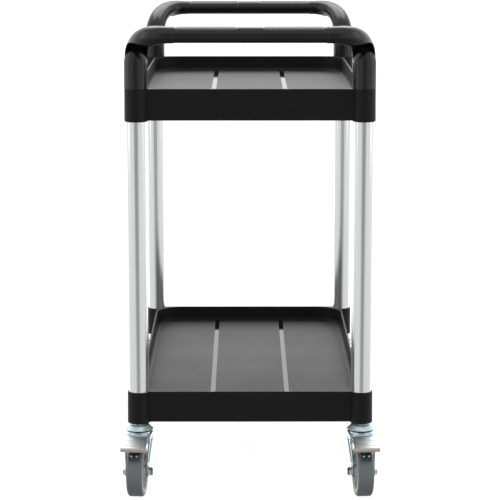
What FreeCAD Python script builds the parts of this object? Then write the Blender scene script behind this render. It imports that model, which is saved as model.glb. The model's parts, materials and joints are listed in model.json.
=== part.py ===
import FreeCAD, Part
import os
import re
import Sketcher
from FreeCAD import Placement, Rotation, Vector

# Two-shelf service trolley. X is the width, Y the length, Z up; the origin is on the floor at the
# middle of the footprint. Everything is in millimetres and driven by the sheet below.
DIMENSIONS = {
    # fits
    "fit_gap": 0.05,
    "face_gap": 0.02,
    "margin": 1.0,
    # posts
    "post_x": 221.5,
    "post_y": 403.5,
    "post_radius": 20.5,
    "post_wall": 1.5,
    "post_top": 858.0,
    # trays
    "wall_x": 222.0,
    "wall_y": 412.5,
    "wall_thickness": 4.0,
    "wall_height": 61.5,
    "deck_drop": 34.0,
    "deck_thickness": 4.0,
    "corner_round": 60.0,
    "cove_round": 8.0,
    "rim_round": 1.2,
    "upper_tray_z": 747.0,
    "lower_tray_z": 144.2,
    "column_drop": 2.4,
    "column_top_radius": 22.5,
    "column_foot_radius": 23.0,
    "column_foot_round": 2.2,
    "rib_thickness": 3.0,
    "rib_lift": 4.0,
    "rib_pitch_x": 76.0,
    "rib_pitch_y": 150.0,
    "strip_x": 76.0,
    "strip_width": 10.0,
    "strip_depth": 0.6,
    # tray screws
    "screw_lift": 12.0,
    "screw_radius": 2.0,
    "screw_head_radius": 4.0,
    "screw_head_height": 2.4,
    "screw_depth": 4.0,
    # handles
    "sleeve_radius": 23.0,
    "bend_start_z": 838.0,
    "bend_rise": 62.0,
    "bend_run": 52.0,
    "bar_y": 494.5,
    "bar_z": 918.0,
    "bar_radius": 15.25,
    "bar_half": 146.0,
    "bar_bore": 9.0,
    "arm_end_radius": 16.2,
    "arm_end_run": 12.0,
    "hood_radius": 70.0,
    "hood_y": 465.0,
    "hood_z": 831.5,
    "hood_depth": 14.0,
    "hood_wall": 3.2,
    "peak_start_z": 858.0,
    "peak_rise": 38.0,
    "spigot_radius": 12.0,
    "spigot_length": 24.0,
    "pad_inner_x": 25.0,
    "pad_length": 115.0,
    "pad_start_angle": 35.0,
    "pad_thickness": 2.2,
    "pad_groove": 0.7,
    "pad_sink": 0.15,
    # stem sockets in the post feet
    "socket_flange": 2.2,
    "socket_length": 48.0,
    "stem_radius": 6.0,
    "stem_length": 40.0,
    # casters
    "cap_top_z": 137.0,
    "cap_height": 8.0,
    "cap_radius": 28.5,
    "cap_crown_radius": 20.0,
    "cap_wall": 2.4,
    "collar_radius": 11.5,
    "kingpin_radius": 5.0,
    "rivet_radius": 8.5,
    "rivet_height": 3.0,
    "race_radius": 16.4,
    "ball_radius": 3.5,
    "crown_z": 116.0,
    "crown_thickness": 3.0,
    "crown_radius": 25.0,
    "cup_radius": 21.5,
    "cup_height": 8.5,
    "wheel_radius": 50.0,
    "trail": 35.0,
    "leg_top_x": 25.0,
    "leg_foot_x": 22.0,
    "leg_thickness": 2.5,
    "leg_foot_z": 64.0,
    "leg_eye_radius": 13.0,
    "leg_bend": 4.0,
    "leg_inset": 3.0,
    "leg_front_drop": 14.0,
    "leg_rear_reach": 8.0,
    "leg_rear_rise": 4.0,
    "leg_rear_drop": 12.0,
    "leg_overshoot": 20.0,
    "axle_radius": 5.0,
    "axle_across_corners": 8.6,
    "axle_head_height": 6.0,
    "axle_nut_height": 7.0,
    "axle_thread_end": 3.0,
    "bush_radius": 6.5,
    "hub_core_radius": 13.0,
    "hub_core_half": 18.5,
    "hub_rim_radius": 43.0,
    "hub_rim_inner": 35.0,
    "hub_rim_half": 15.5,
    "hub_web_half": 5.0,
    "hub_hole_radius": 2.2,
    "hub_hole_ring": 39.0,
    "tyre_half": 16.0,
    "tyre_shoulder": 5.5,
    # brake
    "pivot_y": -30.0,
    "pivot_z": 110.0,
    "pin_radius": 3.0,
    "pin_half": 25.0,
    "pin_head_radius": 4.6,
    "pin_head_height": 1.8,
    "pedal_half": 23.0,
    "pedal_rear_y": -39.5,
    "pedal_rear_z": 121.0,
    "pedal_front_y": -82.0,
    "pedal_front_z": 108.0,
    "pedal_thickness": 2.6,
    "cheek_inner": 17.5,
    "cheek_thickness": 2.0,
    "cheek_front_inset": 8.0,
    "cheek_slant": 6.0,
    "cheek_drop": 6.0,
    "cheek_heel": 7.0,
    "cheek_rise": 4.5,
    "tread_pad_half": 26.0,
    "tread_pad_depth": 7.0,
    "tread_pad_height": 7.0,
    "tread_pad_sink": 1.0,
    "tread_pad_round": 2.4,
    "shoe_half": 10.5,
    "shoe_thickness": 2.0,
    "shoe_distance": 58.0,
    "shoe_angle": 45.0,
    "shoe_reach": 9.0,
    "strap_start": 22.0,
}
# Corners by name: side along X, end along Y, toe-out of the caster in degrees, and whether it has a brake.
CORNERS = {
    "front_left": (-1, -1, -5.0, True),
    "front_right": (1, -1, 5.0, True),
    "rear_left": (-1, 1, 0.0, False),
    "rear_right": (1, 1, 0.0, False),
}
ENDS = {"front": -1, "rear": 1}
ALONG_X = Rotation(Vector(0, 1, 0), 90)
BALL_COUNT = 12
HUB_HOLES = 6
RIBS_EACH_SIDE = 2
ARM_STATIONS = 9
# The sleeve's narrowing end: shares of its rise, and of the sleeve's radius there.
PEAK_SHAPE = ((0, 1), (0.3, 0.93), (0.6, 0.76), (0.85, 0.48), (1, 0.2))
FAR = 400.0

doc = FreeCAD.newDocument("service_trolley")
sheet = doc.addObject("Spreadsheet::Sheet", "Sizes")
nodes = []


def fill_sheet():
    """Writes every driving dimension into the sheet under its own alias."""
    for row, (alias, number) in enumerate(DIMENSIONS.items(), 1):
        sheet.set("A%d" % row, alias)
        sheet.set("B%d" % row, str(number))
        sheet.setAlias("B%d" % row, alias)
    doc.recompute()


def cell(text):
    """Turns the aliases in a formula into references to the sheet."""

    def reference(word):
        return "Sizes." + word[0] if word[0] in DIMENSIONS else word[0]

    return re.sub("[a-z_]+", reference, str(text))


def number(text):
    """The present value of a formula."""
    return float(sheet.evalExpression(cell(text)))


def bind(item, **formulas):
    """Binds properties of an object to formulas."""
    for name, text in formulas.items():
        item.setExpression(name, cell(text))


def place(item, base, turn=None):
    """Puts an object at a place given by three formulas, after an optional rotation."""
    if turn:
        item.Placement = Placement(Vector(), turn)
    for letter, text in zip("xyz", base):
        item.setExpression("Placement.Base." + letter, cell(text))


def node(item, label):
    """Names a finished sub-part."""
    item.Label = label
    nodes.append(item)
    return item


def at_caster(item, corner):
    """Moves a caster piece from its own frame, with the swivel axis on Z, to its corner."""
    side, end, toe, _ = CORNERS[corner]
    place(item, ("%d * post_x" % side, "%d * post_y" % end, "0"), Rotation(Vector(0, 0, 1), toe))
    return item


# ---- solids and booleans -------------------------------------------------------------------------


def primitive(kind, name, base, turn=None, **formulas):
    """A Part primitive with its sizes bound to the sheet."""
    item = doc.addObject("Part::" + kind, name)
    bind(item, **formulas)
    place(item, base, turn)
    return item


def rod(name, radius, length, base, turn=None):
    """A cylinder that starts at its base point."""
    return primitive("Cylinder", name, base, turn, Radius=radius, Height=length)


def cross_rod(name, radius, half, y, z):
    """A cylinder along X, centred on the middle plane."""
    return rod(name, radius, "2 * (%s)" % half, ("-(%s)" % half, y, z), ALONG_X)


def hexagon(name, corner_radius, length, base, turn=None):
    """A six-sided prism."""
    item = primitive("Prism", name, base, turn, Circumradius=corner_radius, Height=length)
    item.Polygon = 6
    return item


def fused(name, parts):
    """The union of several solids."""
    item = doc.addObject("Part::MultiFuse", name)
    item.Shapes = parts
    return item


def grouped(name, parts):
    """Several separate solids in one object."""
    item = doc.addObject("Part::Compound", name)
    item.Links = parts
    return item


def cut(name, base, tools):
    """One solid with several others taken away."""
    item = doc.addObject("Part::Cut", name)
    item.Base = base
    item.Tool = grouped(name + "_tools", tools)
    return item


# ---- bodies with sketches ------------------------------------------------------------------------


def new_body(name):
    """An empty PartDesign body."""
    return doc.addObject("PartDesign::Body", name)


def outline(body, role, name, loops, lift=None):
    """A sketch of closed straight-sided loops on an origin plane, every corner bound to the sheet."""
    sketch = body.newObject("Sketcher::SketchObject", name)
    plane = [item for item in body.Origin.OriginFeatures if item.Role == role][0]
    sketch.AttachmentSupport = [(plane, "")]
    sketch.MapMode = "FlatFace"
    if lift:
        sketch.setExpression("AttachmentOffset.Base.z", cell(lift))
    for points in loops:
        corners = [Vector(number(u), number(v), 0) for u, v in points]
        lines = []
        for start, end in zip(corners, corners[1:] + corners[:1]):
            lines.append(sketch.addGeometry(Part.LineSegment(start, end), False))
        for line, following in zip(lines, lines[1:] + lines[:1]):
            sketch.addConstraint(Sketcher.Constraint("Coincident", line, 2, following, 1))
        for line, corner, (u, v) in zip(lines, corners, points):
            for kind, size, text in (("DistanceX", corner.x, u), ("DistanceY", corner.y, v)):
                index = sketch.addConstraint(Sketcher.Constraint(kind, -1, 1, line, 1, size))
                sketch.setExpression("Constraints[%d]" % index, cell(text))
    return sketch


def box_loop(half_u, half_v):
    """The corners of a rectangle centred on the sketch's origin."""
    return [
        ("-(%s)" % half_u, "-(%s)" % half_v),
        (half_u, "-(%s)" % half_v),
        (half_u, half_v),
        ("-(%s)" % half_u, half_v),
    ]


def extrude(body, kind, name, sketch, length, both_ways=False, upwards=False):
    """Pads or pockets a sketch."""
    item = body.newObject("PartDesign::" + kind, name)
    item.Profile = sketch
    bind(item, Length=length)
    if both_ways:
        item.SideType = "Symmetric"
    item.Reversed = upwards
    sketch.Visibility = False
    return item


def grow(body, kind, name, base, turn=None, **formulas):
    """An additive or subtractive primitive inside a body."""
    item = body.newObject("PartDesign::" + kind, name)
    bind(item, **formulas)
    place(item, base, turn)
    return item


def round_edges(body, name, radius, chosen):
    """Fillets the edges of the body's present shape that a test accepts."""
    doc.recompute()
    base = body.Tip
    picked = ["Edge%d" % (i + 1) for i, edge in enumerate(base.Shape.Edges) if chosen(edge)]
    item = body.newObject("PartDesign::Fillet", name)
    item.Base = (base, picked)
    bind(item, Radius=radius)
    return item


def level(edge, z):
    """True for an edge that lies flat at a height."""
    box = edge.BoundBox
    return abs(box.ZMin - z) < 1e-3 and abs(box.ZMax - z) < 1e-3


# ---- trays ---------------------------------------------------------------------------------------


def tray_shell(body, name):
    """The walls and the deck, with its rounded corners and cove, and the eased rim."""
    block = outline(body, "XY_Plane", name + "_plan", [box_loop("wall_x", "wall_y")])
    extrude(body, "Pad", name + "_block", block, "wall_height")
    inner = box_loop("wall_x - wall_thickness", "wall_y - wall_thickness")
    recess = outline(body, "XY_Plane", name + "_recess_plan", [inner], "wall_height")
    extrude(body, "Pocket", name + "_recess", recess, "deck_drop")
    deck_z = number("wall_height - deck_drop")
    inner_x = number("wall_x - wall_thickness")

    def inside_upright(edge):
        box = edge.BoundBox
        return box.ZLength > 1 and abs(abs(box.XMin) - inner_x) < 1e-3 and box.ZMin > deck_z - 1e-3

    round_edges(body, name + "_corner_round", "corner_round", inside_upright)
    round_edges(body, name + "_cove", "cove_round", lambda edge: level(edge, deck_z))
    rim_z = number("wall_height")
    round_edges(body, name + "_rim_round", "rim_round", lambda edge: level(edge, rim_z))
    under = outline(body, "XY_Plane", name + "_under_plan", [inner])
    hollow_depth = "wall_height - deck_drop - deck_thickness"
    extrude(body, "Pocket", name + "_underside", under, hollow_depth, upwards=True)


def tray_ribs(body, name):
    """The grid of ribs under the deck."""
    height = "wall_height - deck_drop - deck_thickness - rib_lift + margin"
    for step in range(-RIBS_EACH_SIDE, RIBS_EACH_SIDE + 1):
        grow(body, "AdditiveBox", "%s_rib_long_%d" % (name, step + RIBS_EACH_SIDE),
             ("%d * rib_pitch_x - rib_thickness / 2" % step, "margin - wall_y", "rib_lift"),
             Length="rib_thickness", Width="2 * (wall_y - margin)", Height=height)
        grow(body, "AdditiveBox", "%s_rib_cross_%d" % (name, step + RIBS_EACH_SIDE),
             ("margin - wall_x", "%d * rib_pitch_y - rib_thickness / 2" % step, "rib_lift"),
             Length="2 * (wall_x - margin)", Width="rib_thickness", Height=height)


def tray_columns(body, name):
    """The four corner columns, slightly wider at the foot."""
    for corner, (side, end, _, _) in CORNERS.items():
        grow(body, "AdditiveCone", "%s_column_%s" % (name, corner),
             ("%d * post_x" % side, "%d * post_y" % end, "-column_drop"),
             Radius1="column_foot_radius", Radius2="column_top_radius", Height="wall_height + column_drop")
    foot_z = -number("column_drop")
    round_edges(body, name + "_foot_round", "column_foot_round", lambda edge: level(edge, foot_z))


def tray_openings(body, name):
    """The post bores, the screw holes and the two shallow strips along the deck."""
    for corner, (side, end, _, _) in CORNERS.items():
        grow(body, "SubtractiveCylinder", "%s_bore_%s" % (name, corner),
             ("%d * post_x" % side, "%d * post_y" % end, "-column_drop - margin"),
             Radius="post_radius + fit_gap", Height="wall_height + column_drop + 2 * margin")
        grow(body, "SubtractiveCylinder", "%s_screw_hole_%s" % (name, corner),
             ("%d * post_x" % side, "%d * post_y" % end, "screw_lift - column_drop"),
             inward(side, end), Radius="screw_radius + fit_gap", Height="column_foot_radius + 2 * margin")
    half_length = "(wall_y - cove_round - wall_thickness)"
    strip_z = "wall_height - deck_drop - strip_depth"
    for side in (-1, 1):
        base = ("%d * strip_x - strip_width / 2" % side, "-" + half_length, strip_z)
        grow(body, "SubtractiveBox", "%s_strip_%d" % (name, side + 1), base, Length="strip_width",
             Width="2 * " + half_length, Height="strip_depth + margin")


def tray(name, base_z):
    """A moulded tray: walls, deck, ribs, columns and bores in one piece."""
    body = new_body(name)
    tray_shell(body, name)
    tray_ribs(body, name)
    tray_columns(body, name)
    tray_openings(body, name)
    place(body, ("0", "0", base_z))
    node(body, name)


# ---- posts, sockets and tray screws ----------------------------------------------------------------


def inward(side, end):
    """Turns Z to the level diagonal that points from a corner to the middle of the trolley."""
    return Rotation(Vector(0, 0, 1), Vector(-side, -end, 0))


def screw_heights():
    """The heights of the two screws in each post."""
    return ["%s + screw_lift - column_drop" % base for base in ("lower_tray_z", "upper_tray_z")]


def post(corner):
    """A round tube from the foot of the lower tray to the handle elbow."""
    side, end, _, _ = CORNERS[corner]
    name = "post_" + corner
    foot = "lower_tray_z - column_drop + socket_flange"
    centre = ("%d * post_x" % side, "%d * post_y" % end)
    tube = rod(name + "_outside", "post_radius", "post_top - (%s)" % foot, centre + (foot,))
    bore = rod(name + "_bore", "post_radius - post_wall", "post_top + margin", centre + ("0",))
    holes = []
    for level_name, height in zip(("lower", "upper"), screw_heights()):
        holes.append(rod("%s_hole_%s" % (name, level_name), "screw_radius + fit_gap", "post_radius + margin",
                         centre + (height,), inward(side, end)))
    node(cut(name + "_tube", tube, [bore] + holes), name)


def tray_screws():
    """The screws that hold both trays to the posts, driven from inside each corner."""
    screws = []
    for corner, (side, end, _, _) in CORNERS.items():
        for index, height in enumerate(screw_heights()):
            name = "screw_%s_%d" % (corner, index)
            centre = ("%d * post_x" % side, "%d * post_y" % end, height)
            shank = rod(name + "_shank", "screw_radius", "screw_depth + screw_head_height / 2", centre,
                        inward(side, end))
            head = rod(name + "_head", "screw_head_radius", "screw_head_height", centre, inward(side, end))
            slide_out(shank, side, end, centre, "column_foot_radius - screw_depth")
            slide_out(head, side, end, centre, "column_foot_radius + 2 * fit_gap")
            screws.append(fused(name, [shank, head]))
    node(grouped("all_tray_screws", screws), "tray_screws")


def slide_out(item, side, end, centre, reach):
    """Moves a level piece inward along the corner's diagonal."""
    x, y, z = centre
    step = "(%s) / sqrt(2)" % reach
    place(item, ("%s - %d * %s" % (x, side, step), "%s - %d * %s" % (y, end, step), z))


def stem_socket(corner):
    """The plug in the post's foot that takes the caster's stem."""
    side, end, _, _ = CORNERS[corner]
    name = "stem_socket_" + corner
    centre = ("%d * post_x" % side, "%d * post_y" % end)
    foot = "lower_tray_z - column_drop"
    flange = rod(name + "_flange", "post_radius", "socket_flange", centre + (foot,))
    plug = rod(name + "_plug", "post_radius - post_wall - fit_gap", "socket_length", centre + (foot,))
    bore = rod(name + "_bore", "stem_radius + fit_gap", "stem_length + 4 * margin",
               centre + (foot + " - margin",))
    node(cut(name + "_body", fused(name + "_solid", [flange, plug]), [bore]), name)


# ---- handles ---------------------------------------------------------------------------------------


def arm_route(side, end):
    """Centre points, directions and radii along an elbow, from the sleeve to the bar's seam."""
    start = Vector(side * number("post_x"), end * number("post_y"), number("bend_start_z"))
    finish_x = number("bar_half + arm_end_run")
    finish = Vector(side * finish_x, end * number("bar_y"), number("bar_z"))
    rise = start + Vector(0, 0, number("bend_rise"))
    run = finish + Vector(side * number("bend_run"), 0, 0)
    wide = number("sleeve_radius")
    narrow = number("arm_end_radius")
    stations = []
    for step in range(ARM_STATIONS):
        t = step / (ARM_STATIONS - 1)
        s = 1 - t
        centre = start * s**3 + rise * (3 * s * s * t) + run * (3 * s * t * t) + finish * t**3
        heading = (rise - start) * (s * s) + (run - rise) * (2 * s * t) + (finish - run) * (t * t)
        stations.append((centre, heading.normalize(), wide + (narrow - wide) * t * t))
    seam = Vector(side * number("bar_half"), end * number("bar_y"), number("bar_z"))
    stations.append((seam, Vector(-side, 0, 0), narrow))
    return stations


def tube_along(stations, upper_side, shrink=0.0):
    """A smooth solid through round sections, each square to the route and started on its upper side."""
    rings = []
    for centre, heading, radius in stations:
        first = (upper_side - heading * upper_side.dot(heading)).normalize()
        ring = Part.Wire(Part.makeCircle(radius - shrink))
        ring.Placement = Placement(centre, Rotation(first, heading.cross(first), heading, "ZXY"))
        rings.append(ring)
    return Part.makeLoft(rings, True, False)


def sleeve_peak(axis):
    """The sleeve's outside, and its end that narrows to a rounded point under the bend."""
    upward = Vector(0, 0, 1)
    radius = number("sleeve_radius")
    start = number("peak_start_z")
    rise = number("peak_rise")
    foot = number("upper_tray_z + wall_height")
    stations = []
    for share, width in PEAK_SHAPE:
        stations.append((axis + upward * (start + share * rise), upward, width * radius))
    column = Part.makeCylinder(radius, start - foot, axis + upward * foot)
    return column.fuse(tube_along(stations, Vector(0, 1, 0)))


def elbow(corner):
    """A handle elbow: a sleeve over the post that bends out and in to the bar, hollow underneath."""
    side, end, _, _ = CORNERS[corner]
    stations = arm_route(side, end)
    upper_side = Vector(0, -end, 1)
    axis = Vector(side * number("post_x"), end * number("post_y"), 0)
    rim_z = number("upper_tray_z + wall_height")
    bend_z = number("bend_start_z")
    sleeve_radius = number("sleeve_radius")
    sleeve = Part.makeCylinder(sleeve_radius, bend_z - rim_z, axis + Vector(0, 0, rim_z))
    keep = sleeve_peak(axis)
    hood_start = Vector(side * number("post_x") - FAR / 2, end * number("hood_y"), number("hood_z"))
    across = Vector(1, 0, 0)
    hood_radius = number("hood_radius")
    under = Part.makeCylinder(hood_radius, FAR, hood_start, across).cut(keep)
    deep = Part.makeCylinder(hood_radius + number("hood_depth"), FAR, hood_start, across)
    hollow = tube_along(stations[1:-3], upper_side, number("hood_wall")).common(deep).cut(keep)
    arm = tube_along(stations, upper_side).cut(under).cut(hollow)
    margin = number("margin")
    bore_start = axis + Vector(0, 0, rim_z - margin)
    bore_depth = number("post_top + fit_gap + margin") - rim_z
    post_bore = Part.makeCylinder(number("post_radius + fit_gap"), bore_depth, bore_start)
    seam = Vector(side * (number("bar_half") - margin), end * number("bar_y"), number("bar_z"))
    spigot_bore = Part.makeCylinder(number("spigot_radius + fit_gap"), number("spigot_length + 2 * margin"),
                                    seam, Vector(side, 0, 0))
    item = doc.addObject("Part::Feature", "elbow_" + corner)
    item.Shape = sleeve.fuse(arm).cut(post_bore).cut(spigot_bore).removeSplitter().Solids[0]
    node(item, "handle_elbow_" + corner)


def grip_sector(name, radius, angle, start_x, length, y, z):
    """A wedge of a cylinder along X, centred over the top of the bar."""
    turn = Rotation(Vector(1, 0, 0), 90 + number(angle)) * ALONG_X
    item = rod(name, radius, length, (start_x, y, z), turn)
    bind(item, Angle="180 - 2 * (%s)" % angle)
    return item


def grips(prefix, y, groove, radius):
    """The two wedges of one bar, or of its recesses, wider by a groove."""
    found = []
    angle = "pad_start_angle - 4 * (%s)" % groove
    length = "pad_length + 2 * (%s)" % groove
    for name, start in (("left", "-pad_inner_x - pad_length"), ("right", "pad_inner_x")):
        found.append(grip_sector("%s_%s" % (prefix, name), radius, angle, "%s - (%s)" % (start, groove),
                                 length, y, "bar_z"))
    return found


def handle_bar(end_name):
    """The straight hand bar with two grip recesses and a spigot at each end."""
    name = "handle_bar_" + end_name
    y = "%d * bar_y" % ENDS[end_name]
    barrel = cross_rod(name + "_barrel", "bar_radius", "bar_half", y, "bar_z")
    spigots = cross_rod(name + "_spigots", "spigot_radius", "bar_half + spigot_length", y, "bar_z")
    bore = cross_rod(name + "_bore", "bar_bore", "bar_half + spigot_length + margin", y, "bar_z")
    solid = fused(name + "_solid", [barrel, spigots])
    core = cross_rod(name + "_core", "bar_radius - pad_thickness", "bar_half", y, "bar_z")
    wedges = grouped(name + "_wedges", grips(name + "_wedge", y, "pad_groove", "bar_radius + margin"))
    recesses = cut(name + "_recesses", wedges, [core])
    node(cut(name + "_body", solid, [bore, recesses]), name)


def grip_pads(end_name):
    """The soft pads that lie in the bar's recesses."""
    name = "grip_pads_" + end_name
    y = "%d * bar_y" % ENDS[end_name]
    core = cross_rod(name + "_core", "bar_radius - pad_thickness + face_gap", "bar_half", y, "bar_z")
    wedges = grouped(name + "_wedges", grips(name + "_wedge", y, "0", "bar_radius - pad_sink"))
    node(cut(name + "_body", wedges, [core]), name)


# ---- casters: swivel head ----------------------------------------------------------------------------


def caster_stem(corner):
    """The fixed stem with its hexagon collar above the cap and the kingpin below it."""
    name = "caster_stem_" + corner
    collar = hexagon(name + "_collar", "collar_radius", "lower_tray_z - column_drop - cap_top_z",
                     ("0", "0", "cap_top_z"))
    stem = rod(name + "_stem", "stem_radius", "stem_length", ("0", "0", "cap_top_z"))
    foot = ("0", "0", "crown_z - rivet_height")
    kingpin = rod(name + "_kingpin", "kingpin_radius", "cap_top_z - crown_z + rivet_height", foot)
    rivet = rod(name + "_rivet", "rivet_radius", "rivet_height - fit_gap", foot)
    node(at_caster(fused(name + "_body", [collar, stem, kingpin, rivet]), corner), name)


def swivel_cap(corner):
    """The pressed cap over the ball race."""
    name = "swivel_cap_" + corner
    foot = "cap_top_z - cap_height"
    skirt = primitive("Cone", name + "_outside", ("0", "0", foot), Radius1="cap_radius",
                      Radius2="cap_crown_radius", Height="cap_height")
    inside = primitive("Cone", name + "_inside", ("0", "0", foot), Radius1="cap_radius - cap_wall",
                       Radius2="cap_crown_radius - cap_wall", Height="cap_height - cap_wall")
    bore = rod(name + "_bore", "kingpin_radius + face_gap", "cap_height + 2 * margin",
               ("0", "0", foot + " - margin"))
    node(at_caster(cut(name + "_body", skirt, [inside, bore]), corner), name)


def swivel_balls(corner):
    """The ring of bearing balls under the cap."""
    name = "swivel_balls_" + corner
    balls = []
    height = "crown_z + crown_thickness + cup_height + ball_radius + face_gap"
    for index in range(BALL_COUNT):
        turn = 360.0 / BALL_COUNT * index
        base = ("race_radius * cos(%g)" % turn, "race_radius * sin(%g)" % turn, height)
        balls.append(primitive("Sphere", "%s_%d" % (name, index), base, Radius="ball_radius"))
    node(at_caster(grouped(name + "_ring", balls), corner), name)


def fork(corner):
    """The pressed fork: two tapering legs under a round crown with a raised ball cup."""
    name = "fork_" + corner
    body = new_body(name + "_body")
    roof = "crown_z + crown_thickness"
    side_wall = [
        ("leg_top_x", roof),
        ("leg_top_x", "crown_z - leg_bend"),
        ("leg_foot_x", "leg_foot_z"),
        ("leg_foot_x", "wheel_radius"),
        ("leg_foot_x - leg_thickness", "wheel_radius"),
        ("leg_foot_x - leg_thickness", "leg_foot_z"),
        ("leg_top_x - leg_thickness", "crown_z - leg_bend"),
        ("leg_top_x - leg_thickness", "crown_z"),
    ]
    other_wall = [("-(%s)" % u, v) for u, v in reversed(side_wall)]
    front_view = outline(body, "XZ_Plane", name + "_front_view", [side_wall + other_wall])
    extrude(body, "Pad", name + "_channel", front_view, "4 * wheel_radius", both_ways=True)
    leg_side = [
        ("crown_radius - leg_inset", "crown_z + leg_overshoot"),
        ("crown_radius - leg_inset", "crown_z - leg_front_drop"),
        ("leg_eye_radius - trail", "wheel_radius"),
        ("-leg_eye_radius - trail", "wheel_radius"),
        ("pivot_y - leg_rear_reach", "pivot_z - leg_rear_drop"),
        ("pivot_y - leg_rear_reach", "pivot_z + leg_rear_rise"),
        ("-crown_radius", roof),
        ("-crown_radius", "crown_z + leg_overshoot"),
    ]
    surround = box_loop("3 * wheel_radius", "3 * wheel_radius")
    side_view = outline(body, "YZ_Plane", name + "_side_view", [surround, leg_side])
    extrude(body, "Pocket", name + "_trim", side_view, "4 * wheel_radius", both_ways=True)
    fork_head(body, name)
    fork_eyes(body, name, CORNERS[corner][3])
    node(at_caster(body, corner), name)


def fork_head(body, name):
    """The crown's disc, ball cup and kingpin bore."""
    grow(body, "AdditiveCylinder", name + "_crown", ("0", "0", "crown_z"), Radius="crown_radius",
         Height="crown_thickness")
    grow(body, "AdditiveCylinder", name + "_cup", ("0", "0", "crown_z"), Radius="cup_radius",
         Height="crown_thickness + cup_height")
    grow(body, "SubtractiveCylinder", name + "_bore", ("0", "0", "crown_z - margin"),
         Radius="kingpin_radius + fit_gap", Height="crown_thickness + cup_height + 2 * margin")


def fork_eyes(body, name, braked):
    """The round leg ends with their axle holes, and the brake pin's holes."""
    for side_name, start in (("left", "-leg_foot_x"), ("right", "leg_foot_x - leg_thickness")):
        grow(body, "AdditiveCylinder", "%s_eye_%s" % (name, side_name), (start, "-trail", "wheel_radius"),
             ALONG_X, Radius="leg_eye_radius", Height="leg_thickness")
    grow(body, "SubtractiveCylinder", name + "_axle_hole", ("-2 * leg_top_x", "-trail", "wheel_radius"),
         ALONG_X, Radius="axle_radius + fit_gap", Height="4 * leg_top_x")
    if braked:
        grow(body, "SubtractiveCylinder", name + "_pin_hole", ("-2 * leg_top_x", "pivot_y", "pivot_z"),
             ALONG_X, Radius="pin_radius + fit_gap", Height="4 * leg_top_x")


# ---- casters: wheel ------------------------------------------------------------------------------------


def axle_set(corner):
    """The axle bolt and its nut, with the nut on the side towards the middle of the trolley."""
    name = "axle_bolt_" + corner
    side = CORNERS[corner][0]
    faces = "leg_foot_x + face_gap"
    start = {"head": "%s" % faces, "nut": "-(%s) - axle_nut_height" % faces,
             "shank": "-(%s) - axle_nut_height - axle_thread_end" % faces}
    if side < 0:
        start = {"head": "-(%s) - axle_head_height" % faces, "nut": faces, "shank": "-(%s)" % faces}
    shank = rod(name + "_shank", "axle_radius", "2 * (%s) + axle_nut_height + axle_thread_end" % faces,
                (start["shank"], "-trail", "wheel_radius"), ALONG_X)
    head = hexagon(name + "_head", "axle_across_corners", "axle_head_height",
                   (start["head"], "-trail", "wheel_radius"), ALONG_X)
    block = hexagon(name + "_nut_block", "axle_across_corners", "axle_nut_height",
                    (start["nut"], "-trail", "wheel_radius"), ALONG_X)
    thread = cross_rod(name + "_nut_thread", "axle_radius + face_gap", "2 * leg_foot_x", "-trail",
                       "wheel_radius")
    nut = cut(name + "_nut", block, [thread])
    node(at_caster(grouped(name + "_group", [fused(name + "_bolt", [shank, head]), nut]), corner), name)


def axle_bush(corner):
    """The spacer tube that the wheel turns on, clamped between the legs."""
    name = "axle_bush_" + corner
    half = "leg_foot_x - leg_thickness - face_gap"
    outside = cross_rod(name + "_outside", "bush_radius", half, "-trail", "wheel_radius")
    bore = cross_rod(name + "_bore", "axle_radius + fit_gap", "leg_foot_x", "-trail", "wheel_radius")
    node(at_caster(cut(name + "_tube", outside, [bore]), corner), name)


def wheel_hub(corner):
    """The moulded wheel centre: rim, web and core, with small holes through the rim."""
    name = "wheel_hub_" + corner
    axle = ("-trail", "wheel_radius")
    rim = cross_rod(name + "_rim", "hub_rim_radius", "hub_rim_half", *axle)
    dish = cross_rod(name + "_dish", "hub_rim_inner", "hub_rim_half + margin", *axle)
    ring = cut(name + "_ring", rim, [dish])
    web = cross_rod(name + "_web", "hub_rim_inner + margin", "hub_web_half", *axle)
    core = cross_rod(name + "_core", "hub_core_radius", "hub_core_half", *axle)
    bore = cross_rod(name + "_bore", "bush_radius + fit_gap", "hub_core_half + margin", *axle)
    holes = []
    for index in range(HUB_HOLES):
        turn = 360.0 / HUB_HOLES * index
        holes.append(cross_rod("%s_hole_%d" % (name, index), "hub_hole_radius", "hub_rim_half + margin",
                               "hub_hole_ring * cos(%g) - trail" % turn,
                               "hub_hole_ring * sin(%g) + wheel_radius" % turn))
    solid = fused(name + "_solid", [ring, web, core])
    node(at_caster(cut(name + "_body", solid, [bore] + holes), corner), name)


def tyre(corner):
    """The rubber tread with rounded shoulders."""
    name = "tyre_" + corner
    body = new_body(name + "_body")
    grow(body, "AdditiveCylinder", name + "_block", ("-tyre_half", "-trail", "wheel_radius"), ALONG_X,
         Radius="wheel_radius", Height="2 * tyre_half")
    across = number("2 * wheel_radius")
    round_edges(body, name + "_shoulders", "tyre_shoulder",
                lambda edge: edge.BoundBox.XLength < 1e-3 and abs(edge.BoundBox.ZLength - across) < 1e-3)
    grow(body, "SubtractiveCylinder", name + "_bore", ("-tyre_half - margin", "-trail", "wheel_radius"),
         ALONG_X, Radius="hub_rim_radius + face_gap", Height="2 * (tyre_half + margin)")
    node(at_caster(body, corner), name)


# ---- brakes --------------------------------------------------------------------------------------------


def brake_pin(corner):
    """The pin that the pedal turns on, headed outside both legs."""
    name = "brake_pin_" + corner
    parts = [cross_rod(name + "_shank", "pin_radius", "pin_half", "pivot_y", "pivot_z")]
    for side_name, start in (("left", "-pin_half - pin_head_height"), ("right", "pin_half")):
        parts.append(rod("%s_head_%s" % (name, side_name), "pin_head_radius", "pin_head_height",
                         (start, "pivot_y", "pivot_z"), ALONG_X))
    node(at_caster(fused(name + "_body", parts), corner), name)


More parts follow.
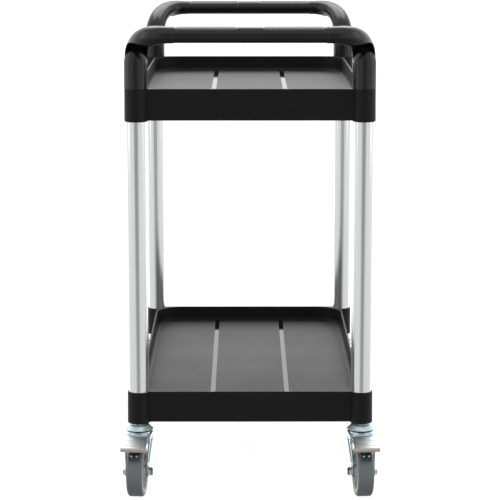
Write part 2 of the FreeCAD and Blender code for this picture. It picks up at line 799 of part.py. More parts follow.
def pedal_underside(y):
    """The height of the pedal plate's lower face at a place along it."""
    slope = "(pedal_rear_z - pedal_front_z) / (pedal_rear_y - pedal_front_y)"
    return "pedal_rear_z - pedal_thickness + (%s - pedal_rear_y) * %s" % (y, slope)


def brake_pedal(corner):
    """The foot plate, and the two cheeks that carry it on the pin."""
    name = "brake_pedal_" + corner
    body = new_body(name + "_body")
    plate = [
        ("pedal_rear_y", "pedal_rear_z"),
        ("pedal_front_y", "pedal_front_z"),
        ("pedal_front_y", pedal_underside("pedal_front_y")),
        ("pedal_rear_y", pedal_underside("pedal_rear_y")),
    ]
    plate_view = outline(body, "YZ_Plane", name + "_plate_view", [plate])
    extrude(body, "Pad", name + "_plate", plate_view, "2 * pedal_half", both_ways=True)
    front = "pedal_front_y + cheek_front_inset"
    knee = front + " + cheek_slant"
    cheek = [
        ("pedal_rear_y", "pedal_rear_z - margin"),
        (front, pedal_underside(front) + " + margin"),
        (knee, pedal_underside(knee) + " - cheek_drop"),
        ("pivot_y + 2 * margin", "pivot_z - cheek_drop"),
        ("pivot_y + cheek_heel", "pivot_z - 2 * margin"),
        ("pivot_y + cheek_heel - 2 * margin", "pivot_z + cheek_rise"),
        ("pivot_y - leg_rear_reach", "pivot_z + cheek_rise"),
    ]
    for side_name, lift in (("right", "cheek_inner"), ("left", "-cheek_inner - cheek_thickness")):
        view = outline(body, "YZ_Plane", "%s_cheek_view_%s" % (name, side_name), [cheek], lift)
        extrude(body, "Pad", "%s_cheek_%s" % (name, side_name), view, "cheek_thickness")
    grow(body, "SubtractiveCylinder", name + "_eye", ("-2 * pedal_half", "pivot_y", "pivot_z"), ALONG_X,
         Radius="pin_radius + fit_gap", Height="4 * pedal_half")
    node(at_caster(body, corner), name)


def pedal_pad(corner):
    """The moulded end piece on the front of the pedal, wider than its plate."""
    name = "pedal_pad_" + corner
    body = new_body(name + "_body")
    front = "pedal_front_y - tread_pad_depth - face_gap"
    base = ("-tread_pad_half", front, "pedal_front_z - tread_pad_height / 2 - tread_pad_sink")
    grow(body, "AdditiveBox", name + "_block", base, Length="2 * tread_pad_half", Width="tread_pad_depth",
         Height="tread_pad_height")
    nose_y = number(front)
    round_edges(body, name + "_nose", "tread_pad_round",
                lambda edge: abs(edge.BoundBox.YMax - nose_y) < 1e-3)
    node(at_caster(body, corner), name)


def shoe_point(along, out):
    """A point of the brake shoe, from its distance along the tread's tangent and out from its face."""
    y = "-trail - (shoe_distance + %s) * cos(shoe_angle) + (%s) * sin(shoe_angle)" % (out, along)
    z = "wheel_radius + (shoe_distance + %s) * sin(shoe_angle) + (%s) * cos(shoe_angle)" % (out, along)
    return (y, z)


def brake_shoe(corner):
    """The strap under the pedal plate that ends in the shoe facing the tread."""
    name = "brake_shoe_" + corner
    body = new_body(name + "_body")
    inner_top = shoe_point("shoe_reach", "0")
    outer_top = shoe_point("shoe_reach", "shoe_thickness")
    under_front = pedal_underside(outer_top[0]) + " - face_gap"
    strap_y = "pedal_rear_y - strap_start"
    under_rear = pedal_underside(strap_y) + " - face_gap"
    profile = [
        inner_top,
        shoe_point("-shoe_reach", "0"),
        shoe_point("-shoe_reach", "shoe_thickness"),
        outer_top,
        (outer_top[0], under_front),
        (strap_y, under_rear),
        (strap_y, under_rear + " - shoe_thickness"),
        (inner_top[0], pedal_underside(inner_top[0]) + " - face_gap - shoe_thickness"),
    ]
    view = outline(body, "YZ_Plane", name + "_view", [profile])
    extrude(body, "Pad", name + "_strap", view, "2 * shoe_half", both_ways=True)
    node(at_caster(body, corner), name)


# ---- assembly ------------------------------------------------------------------------------------------


def caster(corner):
    """Every piece of one caster."""
    for piece in (caster_stem, swivel_cap, swivel_balls, fork, axle_set, axle_bush, wheel_hub, tyre):
        piece(corner)
    if CORNERS[corner][3]:
        for piece in (brake_pin, brake_pedal, pedal_pad, brake_shoe):
            piece(corner)


def build():
    """Makes every sub-part."""
    fill_sheet()
    tray("top_tray", "upper_tray_z")
    tray("bottom_tray", "lower_tray_z")
    for corner in CORNERS:
        post(corner)
        stem_socket(corner)
        elbow(corner)
        caster(corner)
    for end_name in ENDS:
        handle_bar(end_name)
        grip_pads(end_name)
    tray_screws()
    doc.recompute()


def check():
    """Stops the build when any object failed or any sub-part isn't a valid shape."""
    for item in doc.Objects:
        if "Invalid" in item.State or "Error" in item.State:
            raise RuntimeError("%s failed: %s" % (item.Name, item.State))
    for item in nodes:
        if item.Shape.isNull() or not item.Shape.isValid():
            raise RuntimeError("%s has no valid shape" % item.Label)


def export():
    """Writes each sub-part to its own file."""
    os.makedirs("parts", exist_ok=True)
    for item in nodes:
        item.Shape.exportStep("parts/%s.step" % item.Label)
        print("%-32s %9.1f cm3 %d" % (item.Label, item.Shape.Volume / 1000.0, len(item.Shape.Solids)))


build()
check()
export()
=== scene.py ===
import json
import math

import bmesh
import bpy
from mathutils import Matrix, Vector


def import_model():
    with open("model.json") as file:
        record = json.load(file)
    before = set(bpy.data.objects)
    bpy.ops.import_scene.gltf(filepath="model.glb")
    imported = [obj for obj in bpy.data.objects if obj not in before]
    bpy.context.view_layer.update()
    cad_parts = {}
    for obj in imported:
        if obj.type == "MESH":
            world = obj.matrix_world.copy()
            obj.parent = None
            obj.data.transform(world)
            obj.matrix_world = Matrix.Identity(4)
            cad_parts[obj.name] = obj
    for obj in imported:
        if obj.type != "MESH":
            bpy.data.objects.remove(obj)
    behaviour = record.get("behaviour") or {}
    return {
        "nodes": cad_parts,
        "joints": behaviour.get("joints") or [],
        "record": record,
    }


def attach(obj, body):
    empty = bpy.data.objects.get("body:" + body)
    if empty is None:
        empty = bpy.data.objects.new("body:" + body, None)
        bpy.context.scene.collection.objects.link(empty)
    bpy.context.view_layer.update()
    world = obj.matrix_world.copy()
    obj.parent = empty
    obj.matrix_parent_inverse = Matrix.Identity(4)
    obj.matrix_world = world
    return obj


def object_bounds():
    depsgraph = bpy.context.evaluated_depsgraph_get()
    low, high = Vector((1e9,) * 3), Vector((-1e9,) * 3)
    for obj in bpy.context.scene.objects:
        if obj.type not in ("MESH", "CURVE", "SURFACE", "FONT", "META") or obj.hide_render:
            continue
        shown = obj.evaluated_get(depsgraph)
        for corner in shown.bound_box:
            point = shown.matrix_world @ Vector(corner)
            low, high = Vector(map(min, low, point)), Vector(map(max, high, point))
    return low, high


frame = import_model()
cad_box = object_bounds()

RECORD = frame["record"]
NODES = frame["nodes"]
JOINTS = {joint["name"]: joint for joint in frame["joints"]}
SLOT_OF = {part["node"]: part["material_slot"] for part in RECORD["subparts"]}
CORNERS = ("front_left", "front_right", "rear_left", "rear_right")
BRAKED = ("front_left", "front_right")
MM = 0.001


# ---- material building blocks ------------------------------------------------------------------------


class Recipe:
    """A material being built: short calls that add nodes and link them."""

    def __init__(self, name):
        self.material = bpy.data.materials.new(name)
        self.material.use_nodes = True
        self.tree = self.material.node_tree
        self.surface = self.tree.nodes["Principled BSDF"]
        self.place = self.add("TexCoord").outputs["Object"]

    def add(self, kind, **settings):
        node = self.tree.nodes.new("ShaderNode" + kind)
        for key, value in settings.items():
            setattr(node, key, value)
        return node

    def feed(self, socket, value):
        if isinstance(value, bpy.types.NodeSocket):
            self.tree.links.new(value, socket)
        else:
            socket.default_value = value

    def set(self, **inputs):
        for key, value in inputs.items():
            self.feed(self.surface.inputs[key.replace("_", " ")], value)

    def maths(self, operation, *values):
        node = self.add("Math", operation=operation)
        for socket, value in zip(node.inputs, values):
            self.feed(socket, value)
        return node.outputs[0]

    def stretched(self, scale):
        node = self.add("Mapping")
        self.feed(node.inputs["Vector"], self.place)
        node.inputs["Scale"].default_value = scale
        return node.outputs[0]

    def noise(self, scale, detail=2.0, stretch=(1, 1, 1), roughness=0.5):
        node = self.add("TexNoise")
        self.feed(node.inputs["Vector"], self.stretched(stretch))
        self.feed(node.inputs["Scale"], scale)
        self.feed(node.inputs["Detail"], detail)
        self.feed(node.inputs["Roughness"], roughness)
        return node.outputs["Fac"]

    def cells(self, scale):
        node = self.add("TexVoronoi")
        self.feed(node.inputs["Vector"], self.place)
        self.feed(node.inputs["Scale"], scale)
        return node.outputs["Distance"]

    def remap(self, value, low, high, to_low, to_high, smooth=False):
        node = self.add("MapRange", interpolation_type="SMOOTHSTEP" if smooth else "LINEAR")
        for socket, number in zip(node.inputs, (value, low, high, to_low, to_high)):
            self.feed(socket, number)
        return node.outputs[0]

    def blend(self, factor, first, second):
        node = self.add("MixRGB")
        for socket, value in zip(node.inputs, (factor, first, second)):
            self.feed(socket, value)
        return node.outputs[0]

    def bump(self, height, distance, strength=1.0, under=None):
        node = self.add("Bump")
        self.feed(node.inputs["Height"], height)
        self.feed(node.inputs["Distance"], distance)
        self.feed(node.inputs["Strength"], strength)
        if under:
            self.feed(node.inputs["Normal"], under)
        return node.outputs[0]

    def eased(self, radius):
        node = self.add("Bevel", samples=6)
        node.inputs["Radius"].default_value = radius
        return node.outputs[0]

    def split(self, vector=None):
        node = self.add("SeparateXYZ")
        self.feed(node.inputs[0], vector or self.place)
        return node.outputs


def colour(red, green, blue):
    return (red, green, blue, 1.0)


# ---- materials ----------------------------------------------------------------------------------------


def tray_plastic():
    """Black moulded plastic: pebbled, with two glossy strips along each deck that lean a little."""
    m = Recipe("tray_plastic")
    x, y, z = m.split()
    facing_up = m.maths("GREATER_THAN", m.split(m.add("NewGeometry").outputs["Normal"])[2], 0.9)
    from_strip = m.maths("ABSOLUTE", m.maths("SUBTRACT", m.maths("ABSOLUTE", x), STRIP_X))
    strip = m.maths("MULTIPLY", m.maths("LESS_THAN", from_strip, STRIP_HALF), facing_up)
    textured = m.maths("SUBTRACT", 1.0, strip)
    pebble = m.maths("MULTIPLY", m.cells(900.0), textured)
    cloud = m.noise(7.0, 3.0)
    grain = m.noise(420.0, 4.0)
    deck_rough = m.remap(cloud, 0.3, 0.7, 0.52, 0.58)
    wall_rough = m.remap(grain, 0.3, 0.7, 0.45, 0.55)
    rough = m.add("Mix")
    m.feed(rough.inputs[0], facing_up)
    m.feed(rough.inputs[2], wall_rough)
    m.feed(rough.inputs[3], deck_rough)
    darker, lighter = colour(0.004, 0.004, 0.0042), colour(0.0065, 0.0065, 0.0068)
    base = m.blend(m.remap(cloud, 0.25, 0.75, 0.0, 1.0), darker, lighter)
    soft_edges = m.eased(0.8 * MM)
    m.set(Base_Color=base, Specular_IOR_Level=m.remap(facing_up, 0.0, 1.0, 0.24, 0.8))
    m.set(Roughness=m.maths("SUBTRACT", rough.outputs[0], m.maths("MULTIPLY", strip, 0.46)))
    fine = m.maths("MULTIPLY", grain, textured)
    leaning = m.add("VectorMath", operation="ADD")
    sag = m.add("CombineXYZ")
    m.feed(sag.inputs[1], m.maths("MULTIPLY", strip, -STRIP_LEAN))
    m.feed(leaning.inputs[0], soft_edges)
    m.feed(leaning.inputs[1], sag.outputs[0])
    m.set(Normal=m.bump(pebble, 0.06 * MM, 0.5, m.bump(fine, 0.04 * MM, 0.4, leaning.outputs[0])))
    return m.material


def handle_plastic():
    """Smoother black plastic of the elbows and hand bars."""
    m = Recipe("handle_plastic")
    grain = m.noise(500.0, 3.0)
    cloud = m.noise(25.0, 2.0)
    m.set(Base_Color=m.blend(cloud, colour(0.0045, 0.0048, 0.0052), colour(0.007, 0.0074, 0.008)))
    m.set(Roughness=m.remap(cloud, 0.3, 0.7, 0.21, 0.27), Specular_IOR_Level=0.5)
    m.set(Normal=m.bump(grain, 0.03 * MM, 0.4, m.eased(0.7 * MM)))
    return m.material


def grip_rubber():
    """Soft pads in the hand bars."""
    m = Recipe("grip_rubber")
    grain = m.cells(1400.0)
    shade = m.noise(60.0, 2.0)
    m.set(Base_Color=m.blend(shade, colour(0.030, 0.031, 0.033), colour(0.040, 0.041, 0.044)))
    m.set(Roughness=m.remap(shade, 0.3, 0.7, 0.32, 0.42), Specular_IOR_Level=0.55)
    m.set(Normal=m.bump(grain, 0.05 * MM, 0.6, m.eased(0.4 * MM)))
    return m.material


def aluminium():
    """Satin anodised tube with fine lines along its length."""
    m = Recipe("satin_aluminium")
    lines = m.noise(900.0, 3.0, (1.0, 1.0, 0.004))
    cloud = m.noise(14.0, 2.0, (1.0, 1.0, 0.3))
    m.set(Base_Color=m.blend(cloud, colour(0.83, 0.835, 0.84), colour(0.88, 0.885, 0.89)), Metallic=1.0)
    m.set(Roughness=m.remap(lines, 0.3, 0.7, 0.17, 0.23))
    m.set(Normal=m.bump(lines, 0.02 * MM, 0.35))
    return m.material


def zinc_plate():
    """Bluish zinc on the pressed caster steel, with painted light on the crown and painted shade down the
    legs.
    """
    m = Recipe("zinc_plate")
    film = m.noise(70.0, 3.0)
    scratch = m.noise(350.0, 3.0, (1.0, 1.0, 0.2))
    tint = m.blend(m.remap(film, 0.35, 0.65, 0.0, 1.0), colour(0.52, 0.72, 0.80), colour(0.88, 0.97, 1.0))
    # painted shade: the zinc colour darkens by height from the crown down the legs, standing in for less
    # light falling on the legs
    up = m.remap(m.split()[2], LEG_PAINTED_SHADE_Z, CROWN_PAINTED_LIGHT_Z, 0.0, 1.0)
    painted_leg_shade = m.blend(up, colour(0.40, 0.47, 0.52), colour(1, 1, 1))
    shaded = m.add("MixRGB", blend_type="MULTIPLY")
    for socket, value in zip(shaded.inputs, (1.0, tint, painted_leg_shade)):
        m.feed(socket, value)
    m.set(Base_Color=shaded.outputs[0], Metallic=0.55, Roughness=m.remap(scratch, 0.3, 0.7, 0.16, 0.26))
    m.set(Normal=m.bump(scratch, 0.03 * MM, 0.3, m.eased(0.5 * MM)))
    return m.material


def bearing_steel():
    """Polished steel of the balls and the axle bush."""
    m = Recipe("bearing_steel")
    haze = m.noise(200.0, 2.0)
    m.set(Base_Color=m.blend(haze, colour(0.62, 0.62, 0.62), colour(0.7, 0.7, 0.7)), Metallic=1.0)
    m.set(Roughness=m.remap(haze, 0.3, 0.7, 0.1, 0.2))
    return m.material


def fastener_steel():
    """Zinc-plated bolts, nuts, pins and screws."""
    m = Recipe("fastener_steel")
    film = m.noise(160.0, 3.0)
    m.set(Base_Color=m.blend(film, colour(0.66, 0.72, 0.76), colour(0.8, 0.82, 0.82)), Metallic=1.0)
    m.set(Roughness=m.remap(film, 0.3, 0.7, 0.2, 0.32))
    m.set(Normal=m.bump(film, 0.05 * MM, 0.3, m.eased(0.4 * MM)))
    return m.material


def pedal_steel():
    """Satin zinc on the brake pedal, darker down on its shoe."""
    m = Recipe("pedal_steel")
    lines = m.noise(700.0, 3.0, (0.05, 1.0, 1.0))
    film = m.noise(60.0, 2.0)
    pale = m.blend(film, colour(0.48, 0.53, 0.52), colour(0.56, 0.59, 0.575))
    above_shoe = m.remap(m.split()[2], SHOE_TOP - 3 * MM, SHOE_TOP, 0.0, 1.0)
    m.set(Base_Color=m.blend(above_shoe, colour(0.10, 0.12, 0.135), pale), Metallic=0.85)
    m.set(Roughness=m.remap(lines, 0.3, 0.7, 0.36, 0.46))
    m.set(Normal=m.bump(lines, 0.03 * MM, 0.4, m.eased(0.5 * MM)))
    return m.material


def warm_grey_plastic(name, light):
    """Matte warm-grey moulding of the wheel centres and the pedal ends."""
    m = Recipe(name)
    cloud = m.noise(40.0, 3.0)
    grain = m.noise(600.0, 2.0)
    dark = colour(0.40 * light, 0.375 * light, 0.35 * light)
    pale = colour(0.46 * light, 0.435 * light, 0.41 * light)
    m.set(Base_Color=m.blend(cloud, dark, pale), Roughness=m.remap(grain, 0.3, 0.7, 0.42, 0.52))
    m.set(Normal=m.bump(grain, 0.04 * MM, 0.4, m.eased(0.6 * MM)))
    return m.material


def tyre_rubber():
    """Slate-grey non-marking rubber, slightly scuffed on the tread."""
    m = Recipe("tyre_rubber")
    cloud = m.noise(45.0, 4.0)
    grain = m.noise(800.0, 3.0)
    m.set(Base_Color=m.blend(cloud, colour(0.145, 0.164, 0.178), colour(0.188, 0.208, 0.222)))
    m.set(Roughness=m.remap(grain, 0.3, 0.7, 0.48, 0.6), Normal=m.bump(grain, 0.06 * MM, 0.5))
    return m.material


def socket_plastic():
    """Black plug moulding in the post feet."""
    m = Recipe("socket_plastic")
    grain = m.noise(400.0, 2.0)
    m.set(Base_Color=m.blend(grain, colour(0.012, 0.012, 0.012), colour(0.018, 0.018, 0.018)))
    m.set(Roughness=m.remap(grain, 0.3, 0.7, 0.5, 0.6))
    m.set(Normal=m.bump(grain, 0.04 * MM, 0.4, m.eased(0.5 * MM)))
    return m.material


def paint_nodes():
    """Gives each CAD node the material of its slot, with smooth shading between sharp edges."""
    finishes = {
        "black_plastic": tray_plastic(),
        "handle_plastic": handle_plastic(),
        "grip_rubber": grip_rubber(),
        "aluminium_tube": aluminium(),
        "socket_plastic": socket_plastic(),
        "zinc_steel": zinc_plate(),
        "bearing_steel": bearing_steel(),
        "fastener_steel": fastener_steel(),
        "pedal_steel": pedal_steel(),
        "pedal_plastic": warm_grey_plastic("pedal_plastic", 1.2),
        "wheel_plastic": warm_grey_plastic("wheel_plastic", 1.45),
        "tyre_rubber": tyre_rubber(),
    }
    for name, item in NODES.items():
        item.data.materials.clear()
        item.data.materials.append(finishes[SLOT_OF[name]])
        item.data.shade_smooth()
        item.data.set_sharp_from_angle(angle=SHARP_ANGLE)
    return finishes


# ---- detail pieces ---------------------------------------------------------------------------------------


def turned(profile, steps=72):
    """A ring whose closed profile of (radius, height) points is turned about Z."""
    ring = bmesh.new()
    rows = []
    for step in range(steps):
        angle = 2 * math.pi * step / steps
        rows.append([ring.verts.new((r * math.cos(angle), r * math.sin(angle), h)) for r, h in profile])
    for row, following in zip(rows, rows[1:] + rows[:1]):
        for start in range(len(profile)):
            end = (start + 1) % len(profile)
            ring.faces.new((row[start], following[start], following[end], row[end]))
    bmesh.ops.recalc_face_normals(ring, faces=ring.faces)
    return ring


def piece_from(ring, name, place, body, slot_name):
    """Turns a bmesh drawn in millimetres into a piece that rides on a body."""
    mesh = bpy.data.meshes.new(name)
    ring.transform(place @ Matrix.Scale(MM, 4))
    ring.to_mesh(mesh)
    ring.free()
    mesh.shade_smooth()
    mesh.set_sharp_from_angle(angle=SHARP_ANGLE)
    finish_piece(bpy.data.objects.new(name, mesh), body, slot_name)


def beads(name, paths, radius, place, body, slot_name):
    """Fine raised lines, drawn in millimetres as round beads along paths. A path is (points, closed)."""
    curve = bpy.data.curves.new(name, "CURVE")
    curve.dimensions = "3D"
    curve.bevel_depth = radius * MM
    curve.bevel_resolution = 2
    curve.use_fill_caps = True
    for points, closed in paths:
        line = curve.splines.new("POLY")
        line.points.add(len(points) - 1)
        line.use_cyclic_u = closed
        for spot, point in zip(line.points, points):
            spot.co = (*(place @ (Vector(point) * MM)), 1.0)
    finish_piece(bpy.data.objects.new(name, curve), body, slot_name)


def finish_piece(item, body, slot_name):
    """Links a piece, gives it the finish of its slot and lets it ride on its body."""
    item.data.materials.append(FINISHES[slot_name])
    bpy.context.scene.collection.objects.link(item)
    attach(item, body)


def circle(radius, height, steps=72):
    """A closed path round Z."""
    turns = [2 * math.pi * step / steps for step in range(steps)]
    return [(radius * math.cos(turn), radius * math.sin(turn), height) for turn in turns], True


def lying_on_x(x, y, z):
    """The place whose Z runs along the object's X, in millimetres."""
    return Matrix.Translation(Vector((x, y, z)) * MM) @ Matrix.Rotation(math.radians(90), 4, "Y")


def handle_details(end):
    """Seam rings where the bar meets the elbows, and raised lines on the grip pads."""
    y = BAR_Y if end == "rear" else -BAR_Y
    for side, side_name in ((-1, "left"), (1, "right")):
        place = lying_on_x(side * BAR_HALF, y, BAR_Z)
        seam = "seam_ring_%s_%s" % (end, side_name)
        piece_from(turned(SEAM_RING), seam, place, "chassis", "handle_plastic")
        inner, outer = side * (PAD_START + PAD_MARGIN), side * (PAD_END - PAD_MARGIN)
        lines = []
        for degrees in GRIP_LINE_ANGLES:
            angle = math.radians(degrees)
            across = y + PAD_RADIUS * math.cos(angle)
            up = BAR_Z + PAD_RADIUS * math.sin(angle)
            lines.append(([(inner, across, up), (outer, across, up)], False))
        beads("grip_lines_%s_%s" % (end, side_name), lines, GRIP_BEAD, Matrix(), "chassis", "grip_rubber")


def tray_details(tray, top_z, foot_z):
    """The parting rings of the corner columns and the lines where columns meet walls."""
    rings, lines = [], []
    for side_x in (-1, 1):
        for side_y in (-1, 1):
            points = circle(COLUMN_RING_RADIUS, top_z - COLUMN_RING_DROP)[0]
            moved = [(x + side_x * POST_X, y + side_y * POST_Y, z) for x, y, z in points]
            rings.append((moved, True))
            for x, y in COLUMN_MEETS_WALL:
                ends = (foot_z + CORNER_LINE_INSET, top_z - CORNER_LINE_INSET)
                lines.append(([(side_x * x, side_y * y, z) for z in ends], False))
    beads(tray + "_column_rings", rings, COLUMN_RING_BEAD, Matrix(), "chassis", "black_plastic")
    beads(tray + "_corner_lines", lines, CORNER_LINE_BEAD, Matrix(), "chassis", "black_plastic")


def caster_place(corner):
    """The frame of a caster: Z up through the swivel, X along the axle, from the floor."""
    swivel = JOINTS["swivel_turn_" + corner]["pos_m"]
    along = JOINTS["wheel_roll_" + corner]["axis"]
    turn = math.atan2(along[1], along[0])
    return Matrix.Translation((swivel[0], swivel[1], 0.0)) @ Matrix.Rotation(turn, 4, "Z")


def wheel_details(corner, place):
    """Ribs and rings on both faces of the wheel centre, and the moulding line round the tyre."""
    axle = place @ lying_on_x(0, -TRAIL, WHEEL_RADIUS)
    body = "wheel_" + corner
    ribs = [circle(HUB_RING_RADIUS, side * HUB_RING_OUT) for side in (-1, 1)]
    for side in (-1, 1):
        for index in range(HUB_RIBS):
            angle = 2 * math.pi * (index + 0.5) / HUB_RIBS
            way = (math.cos(angle), math.sin(angle))
            points = [(r * way[0], r * way[1], side * HUB_RIB_OUT) for r in HUB_RIB_SPAN]
            ribs.append((points, False))
    beads("hub_ribs_" + corner, ribs, HUB_BEAD, axle, body, "wheel_plastic")
    line = circle(WHEEL_RADIUS - TYRE_LINE_SINK, 0.0, 96)
    beads("tyre_line_" + corner, [line], TYRE_LINE_BEAD, axle, body, "tyre_rubber")


def fork_details(corner, place):
    """Washers, the nut's collar and threads, leg creases and the seal under the cap."""
    body = "swivel_" + corner
    axle = place @ lying_on_x(0, -TRAIL, WHEEL_RADIUS)
    nut_side = -1 if "right" in corner else 1
    for side, name in ((-1, "outer"), (1, "inner")):
        washer = turned([(r, side * h) for r, h in WASHER])
        piece_from(washer, "washer_%s_%s" % (name, corner), axle, body, "fastener_steel")
    collar = turned([(r, nut_side * h) for r, h in NUT_COLLAR])
    piece_from(collar, "nut_collar_" + corner, axle, body, "socket_plastic")
    coil = []
    for step in range(THREAD_STEPS * THREAD_TURNS + 1):
        turns = step / THREAD_STEPS
        angle = 2 * math.pi * turns
        along = nut_side * (THREAD_START + turns)
        coil.append((THREAD_RADIUS * math.cos(angle), THREAD_RADIUS * math.sin(angle), along))
    beads("axle_thread_" + corner, [(coil, False)], THREAD_BEAD, axle, body, "fastener_steel")
    creases = []
    for side in (-1, 1):
        for path in LEG_CREASES:
            creases.append(([(side * x, y, z) for x, y, z in path], False))
    beads("leg_creases_" + corner, creases, LEG_CREASE_BEAD, place, body, "zinc_steel")
    piece_from(turned(DUST_SEAL), "dust_seal_" + corner, place, body, "socket_plastic")


def brake_details(corner, place):
    """Creases across the pedal plate, ribs on its end pad and two dimples on the shoe."""
    body = "pedal_" + corner
    creases = []
    for share in PLATE_CREASES:
        y = PLATE_REAR[0] + share * (PLATE_FRONT[0] - PLATE_REAR[0])
        z = PLATE_REAR[1] + share * (PLATE_FRONT[1] - PLATE_REAR[1])
        creases.append(([(-PLATE_CREASE_HALF, y, z), (PLATE_CREASE_HALF, y, z)], False))
    beads("plate_creases_" + corner, creases, PLATE_CREASE_BEAD, place, body, "pedal_steel")
    face = PLATE_FRONT[0] - END_PAD_DEPTH
    ribs = [([(-END_RIB_HALF, face, z), (END_RIB_HALF, face, z)], False) for z in END_RIBS_Z]
    beads("end_pad_ribs_" + corner, ribs, END_RIB_BEAD, place, body, "pedal_plastic")
    reach = SHOE_DISTANCE * math.sqrt(0.5)
    facing_out = Matrix.Rotation(math.radians(45), 4, "X")
    for side, name in ((-1, "left"), (1, "right")):
        middle = Vector((side * DIMPLE_X, -TRAIL - reach, WHEEL_RADIUS + reach))
        spot = place @ Matrix.Translation(middle * MM) @ facing_out
        dimple = "shoe_dimple_%s_%s" % (name, corner)
        piece_from(turned(DIMPLE, 32), dimple, spot, body, "fastener_steel")


def details():
    """Every piece that is only in the looks."""
    for end in ("front", "rear"):
        handle_details(end)
    for tray, (top_z, foot_z) in TRAYS.items():
        tray_details(tray, top_z, foot_z)
    for corner in CORNERS:
        place = caster_place(corner)
        wheel_details(corner, place)
        fork_details(corner, place)
        if corner in BRAKED:
            brake_details(corner, place)


# ---- stage: floor, world, lights, camera ----------------------------------------------------------------


def floor():
    """A wide pale floor that reads white. Light on its way to the object passes through it."""
    mesh = bpy.data.meshes.new("studio_floor")
    far = FLOOR_REACH
    mesh.from_pydata([(-far, -far, 0), (far, -far, 0), (far, far, 0), (-far, far, 0)], [], [(0, 1, 2, 3)])
    item = bpy.data.objects.new("studio_floor", mesh)
    bpy.context.scene.collection.objects.link(item)
    m = Recipe("studio_floor")
    speck = m.noise(30.0, 3.0)
    m.set(Base_Color=m.blend(speck, colour(0.30, 0.30, 0.30), colour(0.32, 0.32, 0.32)), Roughness=0.8)
    m.set(Specular_IOR_Level=0.2)
    seen = m.add("LightPath").outputs["Is Camera Ray"]
    m.set(Emission_Color=colour(1, 1, 1), Emission_Strength=FLOOR_GLOW, Alpha=seen)
    mesh.materials.append(m.material)


def world():
    """Soft white surroundings, darker in a slot on the camera's side."""
    world_data = bpy.data.worlds.new("studio")
    bpy.context.scene.world = world_data
    world_data.use_nodes = True
    nodes, links = world_data.node_tree.nodes, world_data.node_tree.links
    background = nodes["Background"]
    way = nodes.new("ShaderNodeTexCoord")
    parts = nodes.new("ShaderNodeSeparateXYZ")
    links.new(way.outputs["Generated"], parts.inputs[0])
    ramp = nodes.new("ShaderNodeValToRGB")
    reach = nodes.new("ShaderNodeMapRange")
    reach.inputs["From Min"].default_value = -1.0
    reach.inputs["From Max"].default_value = 1.0
    links.new(parts.outputs["Y"], reach.inputs[0])
    links.new(reach.outputs[0], ramp.inputs[0])
    stops = ramp.color_ramp.elements
    for spot, _ in WORLD_STOPS[len(stops):]:
        stops.new(spot)
    for element, (spot, level) in zip(stops, WORLD_STOPS):
        element.position = spot
        element.color = (level, level, level, 1.0)
    ramp.color_ramp.interpolation = "EASE"
    below = nodes.new("ShaderNodeMapRange")
    for key, value in (("From Min", -0.85), ("From Max", -0.2), ("To Min", WORLD_BELOW)):
        below.inputs[key].default_value = value
    links.new(parts.outputs["Z"], below.inputs[0])
    shade = nodes.new("ShaderNodeVectorMath")
    shade.operation = "SCALE"
    links.new(ramp.outputs[0], shade.inputs[0])
    links.new(below.outputs[0], shade.inputs["Scale"])
    links.new(shade.outputs[0], background.inputs["Color"])
    background.inputs["Strength"].default_value = WORLD_STRENGTH


def area_light(name, place, target, size, radiance):
    """A rectangular soft light whose brightness is given as radiance."""
    data = bpy.data.lights.new(name, "AREA")
    data.shape = "RECTANGLE"
    data.size, data.size_y = size
    data.energy = radiance * math.pi * size[0] * size[1]
    item = bpy.data.objects.new(name, data)
    bpy.context.scene.collection.objects.link(item)
    item.location = place
    item.rotation_euler = (Vector(target) - Vector(place)).to_track_quat("-Z", "Y").to_euler()
    return item


def lights():
    """One large softbox overhead and behind, and two weaker ones at the sides."""
    middle = (cad_box[0] + cad_box[1]) / 2
    area_light("overhead", (0.0, 1.3, 2.9), middle, (2.6, 1.8), OVERHEAD)
    for side, name in ((-1, "left_box"), (1, "right_box")):
        area_light(name, (2.6 * side, -0.6, 1.3), middle, (1.0, 2.0), SIDE_BOX)


def camera():
    """A long lens at the end of the trolley, slightly above the handles."""
    data = bpy.data.cameras.new("camera")
    data.sensor_width = 36.0
    data.lens = data.sensor_width * FOCAL_PIXELS / FRAME_PIXELS
    data.clip_end = 100.0
    item = bpy.data.objects.new("camera", data)
    bpy.context.scene.collection.objects.link(item)
    item.location = CAMERA_PLACE
    item.rotation_euler = (math.radians(90.0 - CAMERA_DROP), 0.0, -math.radians(CAMERA_TURN))
    bpy.context.scene.camera = item


# ---- run -------------------------------------------------------------------------------------------------

SHARP_ANGLE = math.radians(28)

# Places and sizes of the detail pieces, in millimetres. Profiles are (radius, height) round an axis.
BAR_Y, BAR_Z, BAR_HALF = 494.5, 918.0, 146.0
SEAM_RING = ((14.6, -0.8), (16.1, -0.8), (16.5, -0.3), (16.5, 0.3), (16.1, 0.8), (14.6, 0.8))
PAD_START, PAD_END, PAD_MARGIN, PAD_RADIUS = 25.0, 140.0, 2.5, 15.0
GRIP_LINE_ANGLES = (40, 90, 140)
GRIP_BEAD = 0.65
POST_X, POST_Y = 221.5, 403.5
TRAYS = {"top_tray": (808.5, 747.0), "bottom_tray": (205.7, 144.2)}
COLUMN_RING_RADIUS, COLUMN_RING_DROP, COLUMN_RING_BEAD = 22.55, 6.0, 0.3
COLUMN_MEETS_WALL = ((200.9, 412.4), (221.9, 381.1))
CORNER_LINE_INSET, CORNER_LINE_BEAD = 3.0, 0.5
TRAIL, WHEEL_RADIUS = 35.0, 50.0
HUB_RING_RADIUS, HUB_RING_OUT, HUB_BEAD = 33.5, 5.6, 1.3
HUB_RIBS, HUB_RIB_OUT, HUB_RIB_SPAN = 12, 5.4, (12.6, 35.4)
TYRE_LINE_SINK, TYRE_LINE_BEAD = 0.05, 0.2
WASHER = ((5.2, 22.05), (10.4, 22.05), (10.4, 23.0), (10.0, 23.3), (5.2, 23.3))
NUT_COLLAR = ((5.1, 28.8), (7.4, 28.8), (7.4, 29.6), (6.6, 30.6), (5.1, 30.8))
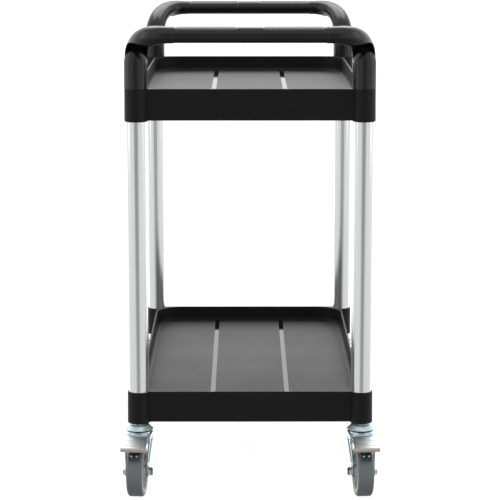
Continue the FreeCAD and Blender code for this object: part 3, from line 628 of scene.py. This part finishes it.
THREAD_RADIUS, THREAD_BEAD, THREAD_START = 4.95, 0.25, 29.7
THREAD_TURNS, THREAD_STEPS = 2, 24
LEG_CREASES = (
    ((25.0, -6.0, 107.0), (23.6, -20.0, 88.0), (22.3, -31.0, 68.0)),
    ((25.0, 8.0, 107.0), (23.6, -8.0, 88.0), (22.3, -26.0, 66.0)),
)
LEG_CREASE_BEAD = 0.7
DUST_SEAL = ((22.4, 125.2), (25.2, 125.2), (25.6, 126.4), (25.2, 128.4), (22.4, 128.4))
PLATE_REAR, PLATE_FRONT = (-39.5, 121.0), (-82.0, 108.0)
PLATE_CREASES, PLATE_CREASE_HALF, PLATE_CREASE_BEAD = (0.3, 0.5, 0.7), 19.0, 0.4
END_PAD_DEPTH, END_RIBS_Z, END_RIB_HALF, END_RIB_BEAD = 7.0, (104.6, 107.0, 109.4), 24.0, 0.5
SHOE_DISTANCE = 60.0
DIMPLE_X = 5.2
DIMPLE = ((0.05, 0.0), (2.3, 0.0), (2.1, 0.7), (1.4, 1.2), (0.05, 1.45))

# Where finishes change, and where the painted light and shade on the caster steel ramp, in metres.
SHOE_TOP = 102 * MM
# painted light and shade: the caster steel is painted lighter above the crown height and darker down the
# legs below the leg height
LEG_PAINTED_SHADE_Z, CROWN_PAINTED_LIGHT_Z = 108 * MM, 118 * MM
STRIP_X = 76 * MM
STRIP_HALF = 4.95 * MM
STRIP_LEAN = 0.052

# Stage.
FLOOR_REACH = 60.0
FLOOR_GLOW = 0.92
OVERHEAD = 3.5
SIDE_BOX = 0.8
WORLD_STRENGTH = 2.0
WORLD_BELOW = 0.25
# Brightness of the surroundings by direction: 0 is behind the camera and 1 behind the trolley.
WORLD_STOPS = (
    (0.0, 0.15), (0.02, 0.17), (0.06, 0.39), (0.3, 0.4), (0.65, 0.42), (0.8, 0.68), (1.0, 0.8),
)
FRAME_PIXELS = 500
FOCAL_PIXELS = 1908.0
CAMERA_PLACE = (-0.0114, -4.098, 1.156)
CAMERA_DROP = 10.21
CAMERA_TURN = 0.175

bpy.context.scene.view_settings.view_transform = "Standard"
FINISHES = paint_nodes()
details()
floor()
world()
lights()
camera()
